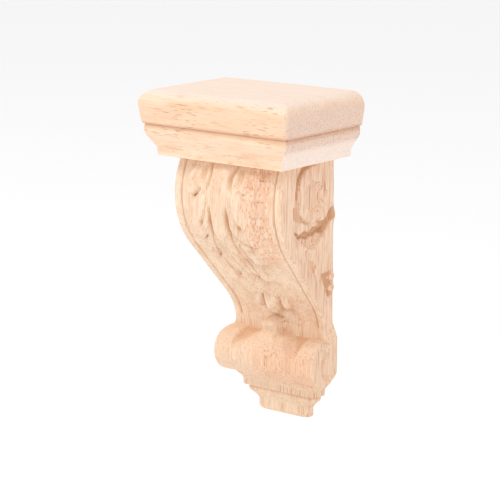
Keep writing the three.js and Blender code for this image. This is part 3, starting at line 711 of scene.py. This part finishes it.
class WoodShader:
    """A wood material under construction: each call adds one step and returns its output, and
    feed sets or links one socket."""

    def __init__(self, name):
        self.material = bpy.data.materials.new(name)
        self.material.use_nodes = True
        self.nodes = self.material.node_tree.nodes
        self.links = self.material.node_tree.links
        self.surface = self.nodes["Principled BSDF"]

    def feed(self, socket, value):
        if isinstance(value, bpy.types.NodeSocket):
            self.links.new(value, socket)
        else:
            socket.default_value = value

    def place(self, scale, offset=(0, 0, 0)):
        coordinates = self.nodes.new("ShaderNodeTexCoord").outputs["Object"]
        mapping = self.nodes.new("ShaderNodeMapping")
        self.feed(mapping.inputs["Vector"], coordinates)
        mapping.inputs["Scale"].default_value = [1000 * value for value in scale]
        mapping.inputs["Location"].default_value = offset
        return mapping.outputs["Vector"]

    def noise(self, vector, detail=3.0, roughness=0.5, distortion=0.0):
        node = self.nodes.new("ShaderNodeTexNoise")
        self.feed(node.inputs["Vector"], vector)
        node.inputs["Scale"].default_value = 1
        node.inputs["Detail"].default_value = detail
        node.inputs["Roughness"].default_value = roughness
        node.inputs["Distortion"].default_value = distortion
        return node.outputs["Fac"]

    def between(self, value, low, high, start=0.0, end=1.0):
        node = self.nodes.new("ShaderNodeMapRange")
        node.interpolation_type = "SMOOTHSTEP"
        self.feed(node.inputs["Value"], value)
        node.inputs["From Min"].default_value = low
        node.inputs["From Max"].default_value = high
        node.inputs["To Min"].default_value = start
        node.inputs["To Max"].default_value = end
        return node.outputs["Result"]

    def combine(self, operation, first, second):
        node = self.nodes.new("ShaderNodeMath")
        node.operation = operation
        self.feed(node.inputs[0], first)
        self.feed(node.inputs[1], second)
        return node.outputs["Value"]

    def times(self, first, second):
        return self.combine("MULTIPLY", first, second)

    def larger(self, first, second):
        return self.combine("MAXIMUM", first, second)

    def less(self, first, second):
        return self.combine("SUBTRACT", first, second)

    def stain(self, under, over, share):
        node = self.nodes.new("ShaderNodeMix")
        node.data_type = "RGBA"
        self.feed(node.inputs[0], share)
        self.feed(node.inputs[6], under)
        self.feed(node.inputs[7], over)
        return node.outputs[2]

    def split(self, vector):
        node = self.nodes.new("ShaderNodeSeparateXYZ")
        self.feed(node.inputs["Vector"], vector)
        return node.outputs["X"], node.outputs["Y"], node.outputs["Z"]

    def share_of(self, label):
        node = self.nodes.new("ShaderNodeAttribute")
        node.attribute_name = label
        return node.outputs["Fac"]

    def relief(self, height, distance):
        node = self.nodes.new("ShaderNodeBump")
        node.inputs["Distance"].default_value = distance
        self.feed(node.inputs["Height"], height)
        return node.outputs["Normal"]


def along_grain(grain, along, across):
    """Scales per millimetre for a pattern stretched along the grain axis."""
    return [along if axis == grain else across for axis in "XYZ"]


def dashes(wood, grain, along, across, low, high, offset):
    """Open pores and flecks: the peaks of a noise stretched along the grain, which show as thin
    dashes on long grain and as dots on end grain."""
    peaks = wood.noise(wood.place(along_grain(grain, along, across), offset), 1.5, 0.5)
    return wood.between(peaks, low, high)


BODY_LIGHT = paint(246, 221, 195)
BODY_DEEP = paint(235, 202, 172)
BODY_SIDE = paint(248, 210, 183)
BODY_FIBRE = paint(216, 164, 126)
BODY_PORE = paint(192, 116, 72)
# Brown painted into the cuts and recesses as shade.
PAINTED_SHADE_BROWN = paint(208, 156, 112)
# A ruddy tone on the roll, also painted as shade on the wall right of the leaf's tip.
BODY_RUDDY_AND_SHADE = paint(234, 170, 132)
TORN_PINK = paint(240, 188, 152)
TORN_RED = paint(228, 140, 88)
TORN_PALE = paint(253, 226, 205)


# Where the body's wood changes, in millimetres from the frame's origin: each change begins at
# the first value and is full at the second.
LOW_TONE = (-20, -28)
RUDDY_FROM_LEFT = (-9, 3)
RUDDY_DOWNWARD = (-6, -14)
# Painted shade on the wall right of the leaf's tip and bud.
WALL_SHADE_FROM_LEFT = (6, 9)
WALL_SHADE_UPWARD = (-26, -22)
RUDDY_ROLL_DOWNWARD = (-28, -33)
RUDDY_ROLL_UPWARD = (-44, -40)
PATCH_FROM_LEFT = (11, 13.5)
PATCH_FROM_RIGHT = (20.5, 18.5)
PATCH_UPWARD = (-2, 5)
PATCH_FORWARD = (-20, -22)
PATCH_RAGGEDNESS = 6
# Where the painted shade in the cuts stops short of the flat back.
OFF_THE_BACK = (-0.02, -0.1)
BODY_BUMP = 0.0001


def ruddy_tone_and_shade(wood, lower_right, x, z):
    """Ruddy at the lower right: a tone on the roll, painted shade on the wall right of the tip."""
    shade_on_wall = wood.times(wood.between(x, *WALL_SHADE_FROM_LEFT, 0, 0.4),
                         wood.between(z, *WALL_SHADE_UPWARD))
    ruddy_and_shade = wood.larger(wood.between(z, *RUDDY_ROLL_DOWNWARD), shade_on_wall)
    ruddy_and_shade = wood.times(ruddy_and_shade, wood.between(z, *RUDDY_ROLL_UPWARD, 0, 0.4))
    return wood.times(ruddy_and_shade, lower_right)


def body_pores(wood, lower_right, at_side):
    """Dark dashes of open pores in clusters, plainest on the sides and at the lower right."""
    clusters = wood.noise(wood.place(along_grain("Z", 0.06, 0.16), (5, 5, 5)), 2)
    fine = dashes(wood, "Z", 0.25, 2.8, 0.57, 0.69, (3, 3, 3))
    long = dashes(wood, "Z", 0.1, 2.3, 0.6, 0.68, (11, 11, 11))
    dark = wood.larger(wood.times(fine, 0.7), long)
    dark = wood.times(dark, wood.between(clusters, 0.3, 0.65, 0.25, 1))
    shown = wood.larger(wood.between(at_side, 0, 1, 0.28, 0.7), wood.times(lower_right, 0.6))
    return wood.times(dark, shown)


def torn_patch(wood, colour, x, y, z):
    """The colour with the torn patch right of the leaf's stem, ragged at both sides, pinker and
    with red and pale flecks; and the red flecks by themselves."""
    ragged = wood.times(wood.noise(wood.place((0.5, 0.5, 0.3))), PATCH_RAGGEDNESS)
    ragged = wood.combine("ADD", x, ragged)
    in_patch = wood.times(wood.between(ragged, *PATCH_FROM_LEFT),
                          wood.between(ragged, *PATCH_FROM_RIGHT))
    in_patch = wood.times(in_patch, wood.between(z, *PATCH_UPWARD))
    in_patch = wood.times(in_patch, wood.between(y, *PATCH_FORWARD))
    red = wood.times(dashes(wood, "Z", 0.5, 2.4, 0.57, 0.67, (17, 4, 9)), in_patch)
    pale = wood.times(dashes(wood, "Z", 0.15, 0.8, 0.5, 0.62, (2, 14, 6)), in_patch)
    colour = wood.stain(colour, TORN_PINK, wood.times(in_patch, 0.45))
    colour = wood.stain(colour, TORN_PALE, wood.times(pale, 0.55))
    return wood.stain(colour, TORN_RED, wood.times(red, 0.76)), red


def body_wood():
    """Pale rubberwood: soft bands and fine fibres up the grain, dark dashes of open pores, pinker
    at the sides, deeper low down, ruddy on the roll's lower right with painted shade on the wall
    right of the leaf's tip, brown painted shade in the cuts and recesses, and torn right of the
    leaf's stem."""
    wood = WoodShader("body_wood")
    streaks = wood.noise(wood.place(along_grain("Z", 0.045, 0.28)), 4, 0.6, 0.6)
    fibres = wood.noise(wood.place(along_grain("Z", 0.07, 2.3)), 3, 0.65)
    x, y, z = wood.split(wood.place((1, 1, 1)))
    at_side = wood.share_of("side")
    lower_right = wood.times(wood.between(x, *RUDDY_FROM_LEFT), wood.between(z, *RUDDY_DOWNWARD))
    ruddy_and_shade = wood.times(ruddy_tone_and_shade(wood, lower_right, x, z), wood.between(at_side, 0.5, 0))
    fibre_share = wood.times(wood.between(fibres, 0.49, 0.68), wood.between(at_side, 0, 1, 0.55, 1))
    dark = body_pores(wood, lower_right, at_side)
    # Painted shade: brown in the cuts and recesses, kept off the back face.
    painted_shade_share = wood.times(wood.between(wood.share_of("cut"), 0.1, 0.9, 0, 0.8),
                           wood.between(y, *OFF_THE_BACK))

    colour = wood.stain(BODY_LIGHT, BODY_DEEP, wood.between(streaks, 0.38, 0.68))
    colour = wood.stain(colour, BODY_SIDE, wood.times(at_side, 0.5))
    colour = wood.stain(colour, BODY_DEEP, wood.between(z, *LOW_TONE, 0, 0.6))
    # Ruddy tone on the roll, and painted shade on the wall right of the tip.
    colour = wood.stain(colour, BODY_RUDDY_AND_SHADE, ruddy_and_shade)
    colour = wood.stain(colour, BODY_FIBRE, fibre_share)
    colour = wood.stain(colour, BODY_LIGHT, wood.between(fibres, 0.46, 0.3, 0, 0.6))
    colour = wood.stain(colour, BODY_PORE, dark)
    colour, red = torn_patch(wood, colour, x, y, z)
    # The brown painted shade in the cuts and recesses.
    colour = wood.stain(colour, PAINTED_SHADE_BROWN, painted_shade_share)
    wood.feed(wood.surface.inputs["Base Color"], colour)
    wood.feed(wood.surface.inputs["Roughness"], wood.between(fibres, 0.3, 0.7, 0.62, 0.78))
    wood.surface.inputs["Specular IOR Level"].default_value = 0.3
    rough = wood.less(wood.less(wood.times(fibres, 0.5), dark), wood.times(red, 0.8))
    wood.feed(wood.surface.inputs["Normal"], wood.relief(rough, BODY_BUMP))
    return wood.material


body = stack_rings("carved_body", *body_rings(body_levels()))
body.data.materials.append(body_wood())
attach(body, "root")
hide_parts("body")


# Cap
# A moulded board of the same wood with its grain across, run on a spindle moulder and glued
# flat on the body: an eased top edge, a leaning fascia, a quirk and bead, and a cove below.

(_, CAP_FRONT, CAP_UNDERSIDE), (CAP_HALF_WIDTH, _, CAP_TOP) = [
    [1000 * value for value in corner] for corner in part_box("cap")]
CAP_HEIGHT = CAP_TOP - CAP_UNDERSIDE
TOP_ROUND = 4.8
CAP_CORNER_ROUND = 1.2
CAP_ARRIS_ROUND = 0.4
FASCIA_LEAN = 0.8
FASCIA_DROP = 10
QUIRK_DROP = 11
QUIRK_INSET = 1.9
BEAD_DROP = 13.2
BEAD_INSET = 1.6
FOOT_INSET = 5.1
FOOT_FRONT_INSET = 4
FOOT_LIP = 2.2
BACK_ARRIS = 0.1
MOULDING_STEPS = 16
CAP_CORNER_STEPS = 8


def bent(*points):
    """A Bezier curve of two or three handles, as points (inset, drop) without its first."""
    steps = np.linspace(0, 1, MOULDING_STEPS + 1)[1:, None]
    points = [np.array(point, float) for point in points]
    while len(points) > 1:
        points = [a + (b - a) * steps for a, b in zip(points, points[1:])]
    return points[0]


def cap_moulding():
    """The moulding from the underside up: a lip, a cove that turns into a bead, a quirk, a
    fascia that leans in, and a quarter round to the flat top."""
    lip_top = FOOT_LIP - CAP_HEIGHT
    lip = [(FOOT_INSET, -CAP_HEIGHT), (FOOT_INSET, 0.2 - CAP_HEIGHT), (FOOT_INSET - 0.1, lip_top)]
    cove = bent(lip[-1], (FOOT_INSET - 0.9, (lip_top - BEAD_DROP) / 2 - 0.6),
                (BEAD_INSET + 0.8, -BEAD_DROP - 2.6), (BEAD_INSET, -BEAD_DROP))
    bead = bent(cove[-1], (BEAD_INSET, -QUIRK_DROP - 0.4), (QUIRK_INSET, -QUIRK_DROP))
    under = bent(bead[-1], (FASCIA_LEAN + 0.1, -QUIRK_DROP + 0.1), (FASCIA_LEAN, -FASCIA_DROP))
    turn = np.linspace(0, np.pi / 2, MOULDING_STEPS + 1)[:, None]
    top = TOP_ROUND * np.hstack([1 - np.cos(turn), np.sin(turn) - 1])
    flat = [(TOP_ROUND + 0.6, 0)]
    return np.vstack([lip, cove, bead, under, top, flat])


def cap_rings(moulding):
    """One ring for each point of the moulding, and how far each of its points lies on an end:
    square at the back, with two round corners in front that are crisper under the quirk than on
    the fascia. The cove is shallower along the front, and no place is marked for painted shade."""
    inset, drop = moulding[:, :1], moulding[:, 1:]
    corner = CAP_ARRIS_ROUND + (CAP_CORNER_ROUND - CAP_ARRIS_ROUND) * ease(
        drop, -QUIRK_DROP - 0.3, -QUIRK_DROP + 0.3)
    half = CAP_HALF_WIDTH - inset
    in_cove = np.where(drop < -BEAD_DROP, (inset - BEAD_INSET) / (FOOT_INSET - BEAD_INSET), 0)
    front = -CAP_FRONT - inset + (FOOT_INSET - FOOT_FRONT_INSET) * in_cove - corner
    turn = np.linspace(0, np.pi / 2, CAP_CORNER_STEPS + 1)[None]
    across = half - corner + corner * np.cos(turn)
    forward = front + corner * np.sin(turn)
    x = np.hstack([half, half - BACK_ARRIS, BACK_ARRIS - half, -half, -across, across[:, ::-1]])
    y = np.hstack([0 * half] * 4 + [forward, forward[:, ::-1]])
    end = np.hstack([[[1, 0, 0, 1]], np.cos(turn), np.cos(turn[:, ::-1])])
    end = end * ease(-drop, 0.3, TOP_ROUND)
    return np.stack([x, -y, CAP_TOP + drop + 0 * x], -1), end, 0 * x


CAP_LIGHT = paint(250, 219, 191)
CAP_DEEP = paint(242, 202, 168)
CAP_FIBRE = paint(228, 182, 145)
CAP_END = paint(234, 206, 190)
# Painted light on the lower cove of the ends.
CAP_END_PAINTED_LIGHT = paint(251, 235, 224)
CAP_TOP_PALE = paint(240, 221, 208)
CAP_PORE = paint(176, 100, 58)
CAP_DOT = paint(160, 112, 88)
# Painted shade in the quirk.
QUIRK_PAINTED_SHADE = paint(210, 158, 120)


# Where the cap's wood changes, in millimetres down from its top: each change begins at the first
# value and is full at the second.
TOP_DOWNS = (3, 0.2)
# Painted shade in the quirk under the fascia.
QUIRK_FOOT_DOWNS = (13, 11.6)
QUIRK_TOP_DOWNS = (9.6, 10.8)
FASCIA_FOOT_DOWNS = (11.2, 10)
FASCIA_TOP_DOWNS = (2.5, 4.5)
# Painted light on the lower cove of the ends.
LIT_COVE_DOWNS = (13.6, 16.8)
DOT_DOWNS = (17, 14)
CAP_BUMP = 0.00006


def cap_pores(wood, down, at_top, at_end):
    """Dark dashes of open pores in clusters, fainter on the top, and dots on the end grain."""
    clusters = wood.noise(wood.place(along_grain("X", 0.05, 0.2), (9, 1, 4)), 2)
    fine = dashes(wood, "X", 0.3, 2.8, 0.6, 0.72, (5, 5, 5))
    long = dashes(wood, "X", 0.2, 2.8, 0.63, 0.71, (17, 17, 17))
    dots = dashes(wood, "X", 0.3, 2.3, 0.58, 0.68, (8, 2, 12))
    dark = wood.larger(wood.times(fine, 0.7), long)
    dark = wood.times(dark, wood.between(clusters, 0.35, 0.65, 0.3, 1))
    dark = wood.times(dark, wood.between(at_top, 0, 1, 1, 0.4))
    dark = wood.times(dark, wood.between(at_end, 0, 1, 1, 0.2))
    dots = wood.times(dots, wood.between(down, *DOT_DOWNS, 0.3, 0.8))
    return wood.larger(dark, wood.times(dots, at_end))


def cap_wood():
    """The cap's wood, grain across: long faint streaks and red-brown dashes on the front, a paler
    top, end grain with dots and greyer tone at both ends with painted light on its lower cove,
    and painted shade in the quirk."""
    wood = WoodShader("cap_wood")
    streaks = wood.noise(wood.place(along_grain("X", 0.04, 0.3), (7, 3, 1)), 4, 0.6, 0.8)
    fibres = wood.noise(wood.place(along_grain("X", 0.05, 2.4), (2, 8, 5)), 3, 0.65)
    _, _, z = wood.split(wood.place((1, 1, 1)))
    down = wood.less(CAP_TOP, z)
    at_end = wood.share_of("side")
    at_top = wood.between(down, *TOP_DOWNS)
    quirk_shade = wood.times(wood.between(down, *QUIRK_FOOT_DOWNS),
                          wood.between(down, *QUIRK_TOP_DOWNS))
    in_fascia = wood.times(wood.between(down, *FASCIA_FOOT_DOWNS),
                           wood.between(down, *FASCIA_TOP_DOWNS))
    dark = cap_pores(wood, down, at_top, at_end)
    # The end grain is greyer, with painted light on its lower cove.
    end_tone_and_light = wood.stain(CAP_END, CAP_END_PAINTED_LIGHT, wood.between(down, *LIT_COVE_DOWNS))
    pore_tone = wood.stain(CAP_PORE, CAP_DOT, at_end)

    colour = wood.stain(CAP_LIGHT, CAP_DEEP, wood.between(streaks, 0.4, 0.7))
    colour = wood.stain(colour, CAP_FIBRE, wood.times(in_fascia, 0.28))
    colour = wood.stain(colour, end_tone_and_light, wood.times(at_end, 0.85))
    colour = wood.stain(colour, CAP_TOP_PALE, wood.times(at_top, 0.8))
    colour = wood.stain(colour, CAP_FIBRE, wood.between(fibres, 0.52, 0.76, 0, 0.5))
    # Brown shade painted in the quirk.
    colour = wood.stain(colour, QUIRK_PAINTED_SHADE, wood.times(quirk_shade, 0.5))
    colour = wood.stain(colour, pore_tone, wood.times(dark, 0.65))
    wood.feed(wood.surface.inputs["Base Color"], colour)
    wood.feed(wood.surface.inputs["Roughness"], wood.between(fibres, 0.3, 0.7, 0.6, 0.76))
    wood.surface.inputs["Specular IOR Level"].default_value = 0.3
    rough = wood.less(wood.times(fibres, 0.35), dark)
    wood.feed(wood.surface.inputs["Normal"], wood.relief(rough, CAP_BUMP))
    return wood.material


cap = stack_rings("moulded_cap", *cap_rings(cap_moulding()))
cap.data.materials.append(cap_wood())
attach(cap, "root")
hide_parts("cap")


# Studio
# A white floor below the corbel, white all round, and two large soft lamps: the strong one in
# front to the left and above, the weak one to the right.

FLOOR_LEVEL = -0.11
FLOOR_WHITE = 0.97
STUDIO_REACH = 3.0
WORLD_STRENGTH = 0.93

floor_mesh = bpy.data.meshes.new("studio_floor")
floor_mesh.from_pydata(
    [(x * STUDIO_REACH, y * STUDIO_REACH, FLOOR_LEVEL) for x, y in
     [(-1, -1), (1, -1), (1, 1), (-1, 1)]], [], [(0, 1, 2, 3)])
floor = bpy.data.objects.new("studio_floor", floor_mesh)
bpy.context.scene.collection.objects.link(floor)
floor_white = bpy.data.materials.new("studio_white")
floor_white.use_nodes = True
floor_surface = floor_white.node_tree.nodes["Principled BSDF"]
floor_surface.inputs["Base Color"].default_value = (FLOOR_WHITE, FLOOR_WHITE, FLOOR_WHITE, 1)
floor_surface.inputs["Roughness"].default_value = 0.9
floor_mesh.materials.append(floor_white)


def soft_lamp(name, azimuth, elevation, distance, size, watts):
    """A square lamp that faces the corbel from a direction given in degrees: azimuth from the
    front towards the right, elevation up from level."""
    turn = math.radians(azimuth)
    lift = math.radians(elevation)
    light = bpy.data.lights.new(name, "AREA")
    light.shape = "SQUARE"
    light.size = size
    light.energy = watts
    lamp = bpy.data.objects.new(name, light)
    lamp.location = (distance * math.sin(turn) * math.cos(lift),
                     -distance * math.cos(turn) * math.cos(lift),
                     distance * math.sin(lift))
    lamp.rotation_euler = (math.pi / 2 - lift, 0, turn)
    bpy.context.scene.collection.objects.link(lamp)


soft_lamp("key_lamp", azimuth=-34, elevation=46, distance=1.2, size=0.4, watts=3.0)
soft_lamp("fill_lamp", azimuth=40, elevation=40, distance=1.3, size=0.4, watts=1.4)

world = bpy.data.worlds.new("studio")
world.use_nodes = True
background = world.node_tree.nodes["Background"]
background.inputs["Color"].default_value = (1, 1, 1, 1)
background.inputs["Strength"].default_value = WORLD_STRENGTH
bpy.context.scene.world = world
bpy.context.scene.view_settings.view_transform = "Standard"

CAMERA_AZIMUTH = math.radians(38.32)
CAMERA_ELEVATION = math.radians(12.37)
CAMERA_DISTANCE = 0.64655
LOOK_AT = (0, -0.02, 0)
FRAMING_RIGHT = 0.00004
FRAMING_UP = 0.00354
CAMERA_LENS = 145.55
SENSOR_WIDTH = 36

camera_data = bpy.data.cameras.new("camera")
camera_data.sensor_width = SENSOR_WIDTH
camera_data.lens = CAMERA_LENS
camera = bpy.data.objects.new("camera", camera_data)
toward_camera = np.array([math.sin(CAMERA_AZIMUTH) * math.cos(CAMERA_ELEVATION),
                          -math.cos(CAMERA_AZIMUTH) * math.cos(CAMERA_ELEVATION),
                          math.sin(CAMERA_ELEVATION)])
to_right = np.array([math.cos(CAMERA_AZIMUTH), math.sin(CAMERA_AZIMUTH), 0])
upward = np.cross(toward_camera, to_right)
camera.location = (np.array(LOOK_AT) + FRAMING_RIGHT * to_right + FRAMING_UP * upward
                   + CAMERA_DISTANCE * toward_camera)
camera.rotation_euler = (math.pi / 2 - CAMERA_ELEVATION, 0, CAMERA_AZIMUTH)
bpy.context.scene.collection.objects.link(camera)
bpy.context.scene.camera = camera
